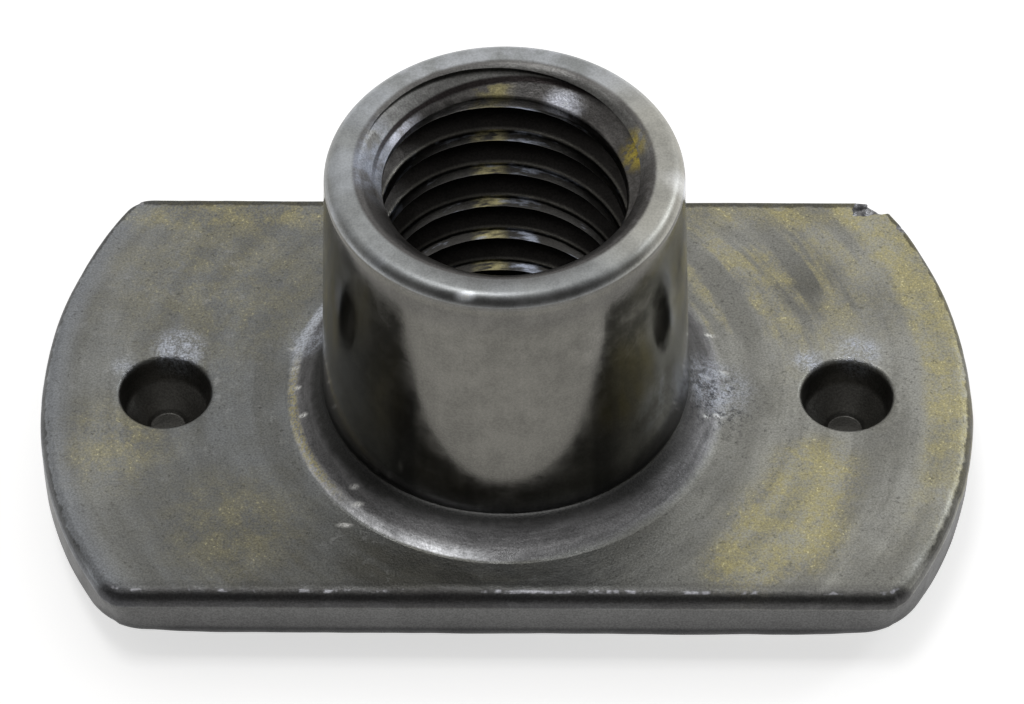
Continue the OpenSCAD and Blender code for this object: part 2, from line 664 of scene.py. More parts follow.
class FormedCoat:
    """The colours of the formed steel, laid one over another in the nut's zones."""

    def __init__(self, s: Shader, mm: Value, finish: SteelFinish) -> None:
        """Works out the places, the noises and the zones that the colours share.

        Args:
            s: Node tree of the material.
            mm: Place on the nut, in millimetres.
            finish: Finish that holds the colours.
        """
        self.s, self.mm, self.finish = s, mm, finish
        self.x, self.y, self.z = s.axes(mm)
        self.radius = (self.x * self.x + self.y * self.y).root()
        self.across, self.along = self.x / self.radius, self.y / self.radius
        self.colour: Any = finish.steel
        self.set_noises()
        self.set_zones()

    def set_noises(self) -> None:
        """Makes the noises, from broad clouds to fine dust, and the marks of drawing."""
        s, mm = self.s, self.mm
        self.cloud = s.grain(mm, 0.28, 3.0, 0.6)
        self.patch = s.grain(mm, 0.9, 4.0, 0.65)
        self.speck = s.grain(mm, 3.2, 3.0, 0.6)
        self.dust = s.grain(mm, 14.0, 2.0, 0.65)
        self.tint = s.grain(s.vector(self.y + 31.0, self.x - 17.0, self.z), 10.0, 2.0, 0.65)
        # Faint rings that the drawing of the barrel left in the plate
        turned = s.vector(self.radius * 0.9, self.across * 1.3, self.along * 1.3)
        self.rings = s.grain(turned, 1.0, 3.0, 0.6)
        # Upright drawing lines on the barrel's wall
        upright = s.vector(self.across * 9.0, self.along * 9.0, self.z * 0.07)
        self.draw_lines = s.grain(upright, 1.0, 4.0, 0.7)
        # Flat lines along the thread and the countersink
        self.cut_lines = s.grain(s.vector(self.x * 0.8, self.y * 0.8, self.z * 2.5), 1.0, 3.0, 0.6)

    def set_zones(self) -> None:
        """Makes the masks of the nut's zones."""
        x, y, z, radius = self.x, self.y, self.z, self.radius
        # Bore, with its threaded depth and the countersink above, out to the lip of the rim
        self.bore = radius.ramp(5.0, 4.75)
        past_thread = z.ramp(13.0, 13.1)
        self.threaded = self.bore * (1 - past_thread)
        self.sunk = radius.ramp(5.0, 4.85) * past_thread
        self.mouth = z.ramp(13.90, 13.98)
        self.lip = self.mouth * (1 - self.sunk)
        # Wall of the barrel, the side of it that faces front, and how far the dark dirt and painted shade
        # at its foot reach
        rise = z.ramp(4.10, 4.35)
        self.outside = rise * (1 - self.bore)
        self.front = self.along.ramp(-0.70, -0.98)
        self.soot_and_shade_reach = 1 - self.across.ramp(0.82, 0.98) * 0.85
        # Fillet: scraped bare from its crease up to a ragged line, and the ragged crease itself
        crumbs = (self.speck - 0.5) * 0.34 + (self.dust - 0.5) * 0.30
        self.bare = (z - self.front * 0.13 + crumbs).ramp(3.96, 3.60)
        fringe = 1 - (self.across * -0.5 - self.along * 0.87).ramp(0.60, 0.90)
        crease = (z + (self.speck - 0.5) * fringe * 0.16).ramp(3.285, 3.32 + fringe * 0.10)
        self.fillet = z.ramp(3.285, 3.33) * (1 - rise) * crease
        # Edge of the plate, the pockets and the plate's top
        self.verge = 1 - y.size().ramp(8.1, 7.6) * radius.ramp(15.0, 14.4)
        self.edge = z.ramp(2.78, 2.68) * self.verge
        pocket = radius.ramp(13.5, 13.3) * radius.ramp(9.6, 9.8) * y.size().ramp(2.2, 2.0)
        self.hollow = z.ramp(3.20, 3.0) * z.ramp(1.15, 1.30) * pocket
        self.top = (1 - self.edge) * (1 - self.hollow) * (1 - z.ramp(3.28, 3.32))
        # Scuffed places, which are rougher too
        self.scuff = self.speck.ramp(0.40, 0.62) * 0.6 + self.dust.ramp(0.42, 0.62) * 0.4
        self.worn = self.s.spots(self.mm, SCUFFS)
        # Dull clouds and rings of the plate
        self.dullness = (self.cloud * 0.45 + self.rings * 0.55).ramp(0.60, 0.42)

    def coat(self, share: Any, colour: Any) -> None:
        """Lays a share of a colour over what lies there."""
        self.colour = self.s.mix(share, self.colour, colour)

    def plate(self) -> None:
        """Plate: painted light towards the right, at the far left and a little at the back; duller in
        clouds and rings, and painted shade at the front and behind the right pocket.
        """
        x, y = self.x, self.y
        # Painted light: the plate's top lighter towards the right, at the far left and a little towards
        # the back
        lit = x.ramp(-2.0, 10.0) * 0.90 + y.ramp(2.0, 8.0) * 0.08 + x.ramp(-10.0, -14.0) * 0.32
        self.coat(lit, self.finish.bright)
        # Duller clouds and rings of the plate, and painted shade at the front edge and behind the right
        # pocket
        self.coat(self.dullness * 0.50 + self.s.spots(self.mm, PAINTED_SHADE_PLACES), self.finish.dull_and_shade)

    def gold_film(self) -> None:
        """Gold film: a band inside the right end, a streak before the right pocket, rings behind, and
        flecks of it brightened into painted glints.
        """
        s, mm, x, y = self.s, self.mm, self.x, self.y
        end_band = self.radius.ramp(13.9, 14.6) * x.ramp(8.5, 11.0) * y.ramp(-8.0, 0.5)
        streak = s.spots(mm, GOLD_STREAK)
        behind = s.near(mm, (9.0, 5.5, 3.3), 1.0, 6.5) * self.rings.ramp(0.46, 0.58)
        back_edge = y.ramp(7.2, 8.2) * 0.45
        gilt = end_band + streak * 1.5 + behind * 0.7 + s.spots(mm, GOLD_LEFT) + back_edge + 0.14
        flecks = self.tint.ramp(0.36, 0.64) * 0.40 + self.patch.ramp(0.40, 0.60) * 0.60
        self.coat(gilt.ramp(0.0, 1.25) * flecks * self.top, self.finish.gold)
        # Painted highlights: flecks of the gold film brightened into glints
        gold_fleck_glints = gilt.ramp(0.1, 0.9) * self.tint.ramp(0.62, 0.68) * self.patch.ramp(0.45, 0.6)
        gold_fleck_glints = end_band * 0.12 + streak.ramp(0.4, 1.0) * 0.10 + gold_fleck_glints * 0.9
        self.coat(gold_fleck_glints * self.top, self.finish.gold_fleck_glint)

    def plate_wear(self) -> None:
        """Plate's cool left end, its pits and rubbed places, and a dark ragged line of painted shade along
        its back and end edges.
        """
        y, radius, finish = self.y, self.radius, self.finish
        self.coat(radius.ramp(14.6, 15.5) * self.x.ramp(-9.0, -12.0) * 0.5 * self.top, finish.cool)
        pits = self.s.grain(self.mm, 6.0, 4.0, 0.7).ramp(0.57, 0.70)
        self.coat(pits * self.top * 0.55, finish.pitted)
        rubbed = self.speck.ramp(0.44, 0.30) * self.cloud.ramp(0.45, 0.6)
        self.coat(rubbed * self.top * 0.35, finish.rubbed)
        # Painted shade: a dark ragged line at the top of the back and end edges, not along the front
        ragged = (self.speck - 0.5) * 0.26 + (self.patch - 0.5) * 0.22
        brink_shade = (y + ragged).ramp(8.62, 8.72) + (radius + ragged).ramp(15.60, 15.68)
        self.coat(brink_shade * self.z.ramp(2.9, 3.0) * y.ramp(-7.8, -6.5) * 0.72, finish.brink_shade)

    def foot(self) -> None:
        """Foot of the barrel: dark dirt and painted shade, then scraped metal out to the crease, and a
        line of painted shade where the wall meets the fillet.
        """
        s, z, finish, front = self.s, self.z, self.finish, self.front
        # Dark dirt and painted shade at the foot of the barrel, lighter on the right and at the front
        soot_and_shade = s.mix(self.across.ramp(-0.3, 0.4), finish.soot_and_shade, finish.soot_and_shade_right)
        soot_and_shade = s.mix(front, soot_and_shade, finish.soot_and_shade_front)
        self.coat(self.outside, finish.drawn)
        self.coat(self.outside * z.ramp(5.2, 4.5) * (front * 0.6 + 0.2), finish.low_wall)
        self.coat(self.outside * z.ramp(4.65, 4.35) * self.soot_and_shade_reach, soot_and_shade)
        bared = self.bare * 0.5 + 0.5 - self.soot_and_shade_reach * (1 - self.bare) * 0.5
        self.coat(self.fillet, s.mix(bared, soot_and_shade, self.scraped_metal()))
        # Painted shade: a dark line in the crease where the wall meets the fillet
        self.coat(z.band(4.26, 0.15, 0.05) * (1 - self.bore) * self.soot_and_shade_reach * 0.30, finish.knee_shade)

    def scraped_metal(self) -> Value:
        """Makes the brushed metal of the fillet, with painted highlights on its outer part: lighter on the
        left and right, and strongest in a half-moon of painted highlight at the front left.

        Returns:
            The colour.
        """
        s, across, along, finish = self.s, self.across, self.along, self.finish
        inner = s.mix(self.front, finish.scraped, finish.scraped_front)
        # Painted highlight: a half-moon band at the front left, and lighter left and right sides
        crescent_highlight = (along * -0.961 - across * 0.276).ramp(0.966, 1.0)
        shine = across.ramp(-0.15, -0.60) * 0.34 + crescent_highlight * 0.82 + across.ramp(0.90, 1.0) * 0.22
        shine = shine * (0.82 + self.speck.ramp(0.35, 0.65) * 0.3)
        outer = s.mix(shine, finish.crease, finish.crescent_highlight)
        brushed = s.grain(s.vector(across * 3.0, along * 3.0, self.radius * 4.0), 1.0, 4.0, 0.7)
        streaks = 0.72 + brushed.ramp(0.36, 0.64) * 0.40 + (self.speck - 0.5) * 0.50
        return s.dim(s.mix(self.z.ramp(3.52, 3.34), inner, outer), streaks)

    def wall(self) -> None:
        """Marks of the wall: burrs at its foot with painted glints, an ochre side, painted pale
        reflections, painted dark reflections of the pockets, a smear.
        """
        s, mm, x, y, z, finish = self.s, self.mm, self.x, self.y, self.z, self.finish
        # A place that is squeezed along an axis makes a round mark long on it
        wide, tall = s.vector(x * 0.4, y, z), s.vector(x, y, z * 0.45)
        # Painted highlights: small glints on the torn burrs
        for bx, by, bz, share in BURR_GLINTS:
            burr = s.near(wide, (bx * 0.4, by, bz), 0.02, 0.15)
            self.coat(burr * self.tint.ramp(0.30, 0.50) * share, finish.burr)
        ochre = s.near(tall, (-5.73, -1.85, 4.2), 0.1, 1.2) * self.draw_lines.ramp(0.36, 0.60)
        self.coat(ochre * self.outside * 0.8, finish.ochre)
        # Painted reflections: pale places low on the right of the wall and higher at the front right
        pale = s.near(tall, (5.47, -2.45, 4.5), 0.1, 0.75) * 0.6
        pale = pale + s.near(mm, (4.2, -4.2, 11.4), 0.4, 2.3) * 0.7
        self.coat(pale * self.outside * (0.5 + self.patch.ramp(0.35, 0.6) * 0.5), finish.pale_reflection)
        # Painted reflections of the dark pockets: narrow dark strips on both sides of the wall, towards
        # the front
        side = self.across.size()
        pocket_reflection = side.ramp(0.45, 0.50) * side.ramp(0.64, 0.55) * z.ramp(11.5, 9.0)
        self.coat(pocket_reflection * self.along.ramp(0.0, -0.4) * self.outside * 0.6, finish.pocket_reflection)
        smear = s.near(mm, (5.3, -3.3, 6.8), 0.3, 1.9) * self.patch.ramp(0.40, 0.62)
        self.coat(smear * self.outside * 0.5, finish.smear)

    def plate_edge(self) -> None:
        """Edge of the plate: a dark line of painted shade round its rounding, painted shade lower down it
        and darkest on the roll below, a pale line of painted highlight at the front, and pockets whose
        floors are darkened with painted shade.
        """
        s, y, z, finish, jagged = self.s, self.y, self.z, self.finish, self.speck - 0.5
        self.coat(self.edge, finish.blanked)
        # Painted shade: the edge darker towards the bottom
        self.coat(self.edge * z.ramp(2.6, 1.5) * 0.60, finish.low_edge_shade)
        # Painted shade: a dark band on the rounding of the front edge
        self.coat(y.ramp(-8.2, -8.5) * z.ramp(3.31, 3.24) * (1 - self.edge) * 0.74, finish.front_edge_shade)
        # Painted shade: a dark ragged line round the rounding, all round the edge
        flat = y.size().ramp(8.3, 8.75)
        brow_shade = (z - flat * 0.17 + jagged * 0.10).ramp(3.03, 2.97) * (z + jagged * 0.14).ramp(2.72, 2.84)
        self.coat(brow_shade * self.verge * 0.48, finish.brow_shade)
        # Painted highlight: a broken pale line along the top of the front edge
        hairline_highlight = z.band(3.225, 0.035, 0.01) * y.ramp(-8.3, -8.6)
        self.coat(hairline_highlight * s.grain(self.mm, 1.1, 3.0, 0.7).ramp(0.52, 0.62), finish.hairline_highlight)
        # Painted shade: darkest on the roll at the bottom of the edge
        self.coat(self.edge * (z + jagged * 0.10).ramp(1.84, 1.62) * 0.8, finish.rolled)
        # Pockets: their walls, and floors darkened with painted shade
        self.coat(self.hollow, s.mix(z.ramp(1.60, 1.50), finish.pocket_wall, finish.pocket_floor_shade))

    def thread(self) -> None:
        """Thread: dark cut flanks, paler crests with gold and blue glints at the back."""
        x, lines, finish = self.x, self.cut_lines, self.finish
        self.coat(self.bore, finish.drawn)
        self.coat(self.radius.ramp(4.03, 4.16) * self.threaded * 0.95, finish.cut)
        crest = (1 - self.radius.ramp(4.02, 4.06)) * self.threaded
        self.coat(crest * 0.78, finish.cut)
        # Painted highlights: gold and blue glints along the crests of the thread
        gilt = x.band(-0.55, 0.75, 0.15) * self.y.ramp(2.0, 3.0)
        self.coat(crest * gilt * lines.ramp(0.38, 0.55), finish.gold)
        self.coat(crest * x.band(0.6, 0.6, 0.1) * lines.ramp(0.45, 0.6), finish.blue)
        self.coat(crest * lines.ramp(0.54, 0.68) * 0.7, finish.blue)

    def countersink(self) -> None:
        """Rim's own colour, painted shade on the wall just under it, then the countersink: a worn land,
        glints and painted shadow rings at the back.
        """
        s, mm, x, z, finish = self.s, self.mm, self.x, self.z, self.finish
        lines, back = self.cut_lines, self.y.ramp(-1.0, 2.0)
        self.coat(self.mouth, finish.rim)
        self.coat(self.mouth * (1 - self.bore) * z.ramp(14.22, 14.12) * 0.35, finish.drawn)
        # Painted shade: a dark band on the outside of the wall just under the rim
        under_rim_shade = (1 - self.bore) * z.ramp(12.5, 13.3) * z.ramp(13.75, 13.50)
        self.coat(under_rim_shade * 0.24, finish.under_rim_shade)
        self.coat(self.sunk, finish.sunk)
        self.coat(self.sunk * x.ramp(2.0, 4.2) * self.speck.ramp(0.35, 0.55) * 0.6, finish.sunk_right)
        brim = z.ramp(13.81, 13.86) * self.sunk * back
        self.coat(brim * (0.45 + lines.ramp(0.40, 0.60) * 0.4), finish.brim)
        land = (z + (self.speck - 0.5) * 0.10).ramp(13.73, 13.67) * self.sunk
        self.coat(land * (0.15 + lines.ramp(0.40, 0.60) * 0.6) * x.ramp(4.4, 3.2), finish.land)
        self.coat(land * x.band(-0.6, 1.1, 0.3) * self.patch.ramp(0.35, 0.6), finish.gold)
        self.coat(land * s.spots(mm, GLINTS) * self.patch.ramp(0.35, 0.55), finish.glint)
        blued = s.near(mm, (-4.5, 0.6, 13.9), 0.5, 2.2) * self.patch.ramp(0.35, 0.62)
        self.coat(blued * self.sunk * 0.7, finish.blue)
        yellow = s.near(mm, (4.25, 1.4, 13.7), 0.1, 0.9) * self.speck.ramp(0.35, 0.6)
        self.coat(yellow * self.sunk, finish.yellow)
        # Painted shadows: dark rings across the back of the countersink
        ring_shadows = z.band(13.775, 0.075, 0.03) + z.band(14.26, 0.05, 0.02) * 0.4
        self.coat(ring_shadows * self.sunk * back * 0.92, finish.ring_shadow)

    def rim(self) -> None:
        """Rim: worn on its lip, a sheen in two places, painted shade at the front, painted light on the
        warm right and the frosty back.
        """
        s, z, across, finish, lip = self.s, self.z, self.across, self.finish, self.lip
        patchy = s.grain(s.vector(across * 2.2, self.along * 2.2, z), 1.0, 3.0, 0.6).ramp(0.48, 0.66)
        self.coat(lip * patchy * (0.22 + across.ramp(-0.1, -0.7) * 0.3), finish.worn_lip)
        wide = s.vector(self.x * 0.5, self.y, z)
        sheen = s.near(wide, (-0.61, -5.58, 14.22), 0.08, 0.26)
        sheen = sheen + s.near(self.mm, (5.62, -0.50, 14.05), 0.1, 0.75) * 0.7
        self.coat(sheen * (1 - self.sunk), finish.sheen)
        roll = z.ramp(14.27, 14.16) * z.ramp(13.74, 13.90) * (1 - self.bore)
        inner_lip = self.radius.ramp(5.35, 4.90) * 0.45
        # Painted shade: the lip and its rounding dim at the front, and a little on the left
        dim = (lip * (0.30 + inner_lip) + roll * 0.34) * self.front
        dim = dim + self.mouth * across.ramp(-0.5, -0.95) * 0.14
        self.coat(dim * (1 - sheen), finish.dim_lip_shade)
        # Painted light: the lip lighter and warmer on the right, lighter and frostier at the back
        self.coat(lip * across.ramp(0.5, 0.9) * 0.42, finish.warm_lip_light)
        self.coat(lip * self.along.ramp(0.5, 0.9) * self.patch.ramp(0.35, 0.62) * 0.45, finish.frosty_lip_light)

    def scuffs(self) -> None:
        """Scuffs at the foot of the barrel and behind the pockets, with scars and a scraped arc."""
        s, mm, radius, finish = self.s, self.mm, self.radius, self.finish
        self.coat(self.worn.ramp(0.0, 1.1) * (self.scuff * 0.85 + 0.12), finish.scuffed)
        scars = s.grain(mm, 4.5, 4.0, 0.7).ramp(0.52, 0.62)
        self.coat(s.near(mm, (7.0, -0.6, 3.6), 0.4, 2.4) * scars * 0.75, finish.scar)
        scrape = radius.band(7.30, 0.30, 0.08) * s.near(mm, (-6.6, 3.0, 3.4), 0.8, 2.6)
        self.coat(scrape * (self.dust.ramp(0.3, 0.6) * 0.6 + 0.3), finish.scrape)
        arc = radius.band(7.25, 0.22, 0.05) * self.x.ramp(-4.0, -6.0)
        arc = arc * s.near(mm, (-6.8, -1.8, 3.4), 1.5, 4.0)
        self.coat(arc * self.tint.ramp(0.40, 0.55) * 0.7, finish.gold)

    def fine_grain(self) -> None:
        """Fine grain in the light of the whole nut, quieter on the wall of the barrel."""
        s, patch = self.s, self.patch
        fleck = 0.80 + self.dust.ramp(0.30, 0.70) * 0.40
        quiet = 0.75 + self.dust.ramp(0.30, 0.70) * 0.22 + patch.ramp(0.35, 0.65) * 0.22
        quiet = quiet + self.draw_lines.ramp(0.3, 0.7) * 0.08
        self.colour = s.dim(self.colour, fleck + (quiet - fleck) * self.outside)

    def roughness(self) -> Value:
        """Works out the roughness: satin on the plate and rim, smooth on the wall and in the bore.

        Returns:
            The roughness.
        """
        rough = 0.38 + self.patch.ramp(0.35, 0.7) * 0.08 - self.outside * 0.26 - self.bore * 0.10
        rough = rough + self.z.ramp(13.70, 14.05) * (0.24 - self.bore * 0.14)
        stained = self.speck.ramp(0.5, 0.75) * 0.05 + self.dullness * 0.05
        return rough + stained * (1 - self.outside) + self.fillet * self.bare * 0.04

    def height(self) -> Value:
        """Works out the fine relief, which the wall of the barrel has little of.

        Returns:
            The height, for a bump.
        """
        height = (self.speck * 0.45 + self.patch * 0.5) * (1 - self.outside)
        height = height + self.dust * 0.40 * (1 - self.outside * 0.9)
        height = height + self.draw_lines * self.outside * 0.12 + self.rings * self.top * 0.6
        return height + self.worn * self.scuff * 0.8


@dataclass(frozen=True)
class FloorFinish:
    """Plain pale paper."""

    shade: float = 0.82
    glow: float = 0.62

    def build(self) -> bpy.types.Material:
        """Makes the material.

        Returns:
            The material, which keeps shadows and shows pale in metal too.
        """
        material = bpy.data.materials.new("pale_floor")
        material.use_nodes = True
        s = Shader(material.node_tree)
        paper = s.node("ShaderNodeBsdfPrincipled", None,
                       {"Base Color": (self.shade, self.shade, self.shade, 1), "Roughness": 0.9,
                        "Specular IOR Level": 0.0})
        path = s.node("ShaderNodeLightPath").socket.node.outputs
        seen = (Value(s, path["Is Camera Ray"]) + Value(s, path["Is Glossy Ray"])
                + Value(s, path["Is Transmission Ray"]))
        lit = s.node("ShaderNodeEmission", None, {"Color": (1, 1, 1, 1), "Strength": seen * self.glow})
        shader = s.node("ShaderNodeAddShader", None, {0: paper, 1: lit})
        s.node("ShaderNodeOutputMaterial", None, {"Surface": shader})
        return material


# ---------------------------------------------------------------- the nut


@dataclass(frozen=True)
class Loop:
    """One loop of points round the plate's rim."""

    band: Band
    # How many radii of the rounding or the roll it lies inside the outline
    inset: float
    # Radii of the rounding below the top face or of the roll above the underside, or share of the wall
    depth: float


@dataclass
class Plate:
    """The stamped plate: a round cut off by two straight edges, with a worn and rolled rim."""

    end_r: float = 15.875
    half_width: float = 9.0
    corner_r: float = 1.1
    lower_corner_r: float = 2.3
    upper_r: float = 0.55
    back_r: float = 0.18
    lower_r: float = 0.65
    least_corner_r: float = 0.15
    flats: int = 156
    ends: int = 112
    corners: int = 12

    @property
    def count(self) -> int:
        """Number of points round the outline."""
        return 2 * (self.flats + self.ends) + 4 * self.corners

    def outline(self, i: int, corner_r: float, inset: float) -> tuple[float, float]:
        """Gives a point of the plan.

        Args:
            i: Number of the point, counted from the middle of the right end.
            corner_r: Radius of the corners.
            inset: Distance of the outline inside the plate's own.

        Returns:
            The point (x, y).
        """
        corner_r = max(corner_r - inset, self.least_corner_r)
        end_r = self.end_r - inset
        flat_y = self.half_width - inset
        cy = flat_y - corner_r
        cx = math.sqrt((end_r - corner_r) ** 2 - cy**2)
        turn = math.atan2(cy, cx)
        half_end, half_flat = self.ends // 2, self.flats // 2
        quarter = half_end + self.corners + half_flat
        q, k = divmod(i, quarter)
        if q % 2:
            k = quarter - k
        if k <= half_end:
            a = turn * k / half_end
            x, y = end_r * math.cos(a), end_r * math.sin(a)
        elif k <= half_end + self.corners:
            a = turn + (math.pi / 2 - turn) * (k - half_end) / self.corners
            x, y = cx + corner_r * math.cos(a), cy + corner_r * math.sin(a)
        else:
            x, y = cx * (1 - (k - half_end - self.corners) / half_flat), flat_y
        return (x if q in (0, 3) else -x), (y if q in (0, 1) else -y)

    def wear(self, x: float, y: float) -> tuple[float, float]:
        """Gives how far the edges vary at a point of the outline.

        Args:
            x: Place of the point along the plate.
            y: Place of the point across it.

        Returns:
            Shares by which the upper rounding and the lower roll are larger there.
        """
        upper = 0.12 * ripple(x * 0.35, y * 0.35, 0, 1) + 0.08 * ripple(x * 1.3, y * 1.3, 0, 2)
        lower = 0.10 * ripple(x * 0.3, y * 0.3, 0, 3) + 0.05 * ripple(x * 1.1, y * 1.1, 0, 4)
        return upper + 0.05 * ripple(x * 3.1, y * 3.1, 0, 5), lower

    def loops(self) -> list[Loop]:
        """Lists the loops of the rim.

        Returns:
            The loops from the top face, round the edge, to the underside.
        """
        loops = [Loop(Band.ROUNDING, 1.25, 0.0), Loop(Band.ROUNDING, 1.1, 0.0)]
        for a in (math.radians(d) for d in range(0, 91, 9)):
            loops.append(Loop(Band.ROUNDING, 1 - math.sin(a), 1 - math.cos(a)))
        loops += [Loop(Band.WALL, 0.0, share) for share in (0.2, 0.4, 0.6, 0.8)]
        for a in (math.radians(d) for d in range(0, 91, 10)):
            loops.append(Loop(Band.ROLL, 1 - math.cos(a), 1 - math.sin(a)))
        return loops + [Loop(Band.ROLL, 1.1, 0.0)]

    def edge_radii(self, x: float, y: float) -> tuple[float, float]:
        """Gives the radii of the two edges at a point of the outline.

        Args:
            x: Place of the point along the plate.
            y: Place of the point across it.

        Returns:
            Radius of the upper rounding, sharper at the back, and of the roll, fuller at the corners.
        """
        more_upper, more_lower = self.wear(x, y)
        back = within((y - 1.0) / 7.0)
        corner = math.exp(-((math.hypot(abs(x) - 12.9, abs(y) - 8.5) / 1.6) ** 2))
        upper_r = (self.upper_r + (self.back_r - self.upper_r) * back) * (1 + more_upper)
        return upper_r, self.lower_r * (1 + more_lower) + 0.25 * corner

    def rim_point(self, i: int, loop: Loop) -> Place:
        """Gives the place of a point of the rim.

        Args:
            i: Number of the point round the outline.
            loop: The loop that it lies in.

        Returns:
            The place.
        """
        x0, y0 = self.outline(i, self.corner_r, 0)
        upper_r, lower_r = self.edge_radii(x0, y0)
        if loop.band is Band.ROUNDING:
            z, corner_r = TOP_Z - loop.depth * upper_r, self.corner_r
            inset = loop.inset * upper_r
        elif loop.band is Band.WALL:
            wall_top, wall_low = TOP_Z - upper_r, UNDER_Z + lower_r
            z = wall_top + (wall_low - wall_top) * loop.depth
            corner_r = self.corner_r + (self.lower_corner_r - self.corner_r) * loop.depth
            inset = 0.0
        else:
            z, corner_r = UNDER_Z + loop.depth * lower_r, self.lower_corner_r
            inset = loop.inset * lower_r
        x, y = self.outline(i, corner_r, max(inset + self.end_inset(x0, y0, z), 0.0))
        return x, y, z

    def end_inset(self, x: float, y: float, z: float) -> float:
        """Gives how far the worn edge stands inside its outline, but for the burr at the right end.

        Args:
            x: Place along the plate.
            y: Place across it.
            z: Height.

        Returns:
            The distance.
        """
        if abs(y) > 8.9:
            return 0.015 + 0.012 * ripple(x * 0.5, y, z * 0.8, 6)
        burr = 0.0
        if x > 0 and z > 2.3:
            along = within((y + 4.35) / 0.15) * within((0.3 - y) / 1.2)
            burr = 0.05 * along * min((z - 2.3) / 0.5, 1)
        return 0.055 - burr + 0.018 * ripple(x * 0.6, y * 0.6, z * 0.5, 7)

    def build(self) -> Piece:
        """Extrudes the rim loop by loop.

        Returns:
            The rim, whose two faces stay open for the other pieces.
        """
        rim = Piece.ring("plate_rim", self.count, self.end_r)
        loops = self.loops()
        with rim.editing():
            bpy.ops.mesh.select_all(action="SELECT")
            rim.place(lambda i: self.rim_point(i, loops[0]))
            for loop in loops[1:]:
                bpy.ops.mesh.extrude_region()
                rim.place(lambda i: self.rim_point(i, loop))
        log.info("plate rim: %d points round, %d loops", self.count, len(loops))
        return rim


@dataclass
class Barrel:
    """The drawn barrel with its fillet, its countersunk mouth and the middle of the plate."""

    rim_r: float = 5.86
    draft: float = 2.0
    rim_edge_r: float = 0.55
    foot_r: float = 0.4
    skirt_r: float = 2.9
    foot_turn: float = 43.0
    skirt_turn: float = 72.0
    hole_r: float = 3.9
    mouth_r: float = 4.79
    lead_r: float = 5.0
    outer_r: float = 8.0
    steps: int = 240

    def wall_r(self, z: float) -> float:
        """Radius of the wall at a height."""
        return self.rim_r + (RIM_Z - z) * math.tan(math.radians(self.draft))

    def fillet(self) -> Line:
        """Gives the fillet: a small radius at the wall, then a large one out to the plate.

        Returns:
            Its points, each (across, down) from the foot of the wall, which is the first.
        """
        foot = [(0.0, 0.0), *arc(self.foot_r, self.draft, self.foot_turn, 8)]
        across, down = foot[-1]
        skirt = arc(self.skirt_r, self.foot_turn, self.skirt_turn, 10)
        return foot + [(across + more, down + lower) for more, lower in skirt]

    def section(self) -> Line:
        """Gives the half section.

        Returns:
            Its points, from the underside through the bore and over the rim to the top face.
        """
        fillet = self.fillet()
        foot_z = TOP_Z - fillet[-1][1]
        hole_top = RIM_Z - self.mouth_r + self.hole_r
        corners = [(self.outer_r, UNDER_Z, 0), (self.lead_r, UNDER_Z, 0.18),
                   (self.hole_r, UNDER_Z + self.lead_r - self.hole_r, 0),
                   (self.hole_r, hole_top, 0),
                   (self.mouth_r, RIM_Z, 0.60),
                   (self.rim_r, RIM_Z, self.rim_edge_r)]
        wall_top = RIM_Z - self.rim_edge_r * 1.25
        for k in range(1, 10):
            z = wall_top + (foot_z - wall_top) * k / 10
            corners.append((self.wall_r(z), z, 0))
        foot_r = self.wall_r(foot_z)
        corners += [(foot_r + across, foot_z + down, 0) for across, down in fillet]
        corners[-1] = (corners[-1][0], TOP_Z, 0.10)
        return rounded([*corners, (self.outer_r, TOP_Z, 0)], 11.0)

    def unevenness(self, at: Vector) -> Vector:
        """Gives the small lasting waves of the drawn wall and of its fillet.

        Args:
            at: A place on the barrel.

        Returns:
            The move of that place, never outwards.
        """
        radius = math.hypot(at.x, at.y)
        if radius < self.lead_r or at.z < TOP_Z - 0.2 or radius > self.outer_r - 0.05:
            return Vector((0, 0, 0))
        angle = math.atan2(at.y, at.x)
        wave = ripple(math.cos(angle) * 1.6, math.sin(angle) * 1.6, at.z * 0.22, 8)
        fine = ripple(math.cos(angle) * 5.0, math.sin(angle) * 5.0, at.z * 0.5, 9)
        inwards = 0.012 * (wave - 1) * 0.5 + 0.004 * (fine - 1) * 0.5
        return Vector((at.x, at.y, 0)).normalized() * inwards

    def build(self) -> Piece:
        """Turns the barrel and gives its wall the waves.

        Returns:
            The barrel, open where it meets the plate.
        """
        barrel = Piece.turned("barrel", self.section(), self.steps)
        with barrel.editing():
            barrel.nudge(self.unevenness)
        log.info("barrel: %d steps, %d points in its section", self.steps, len(self.section()))
        return barrel


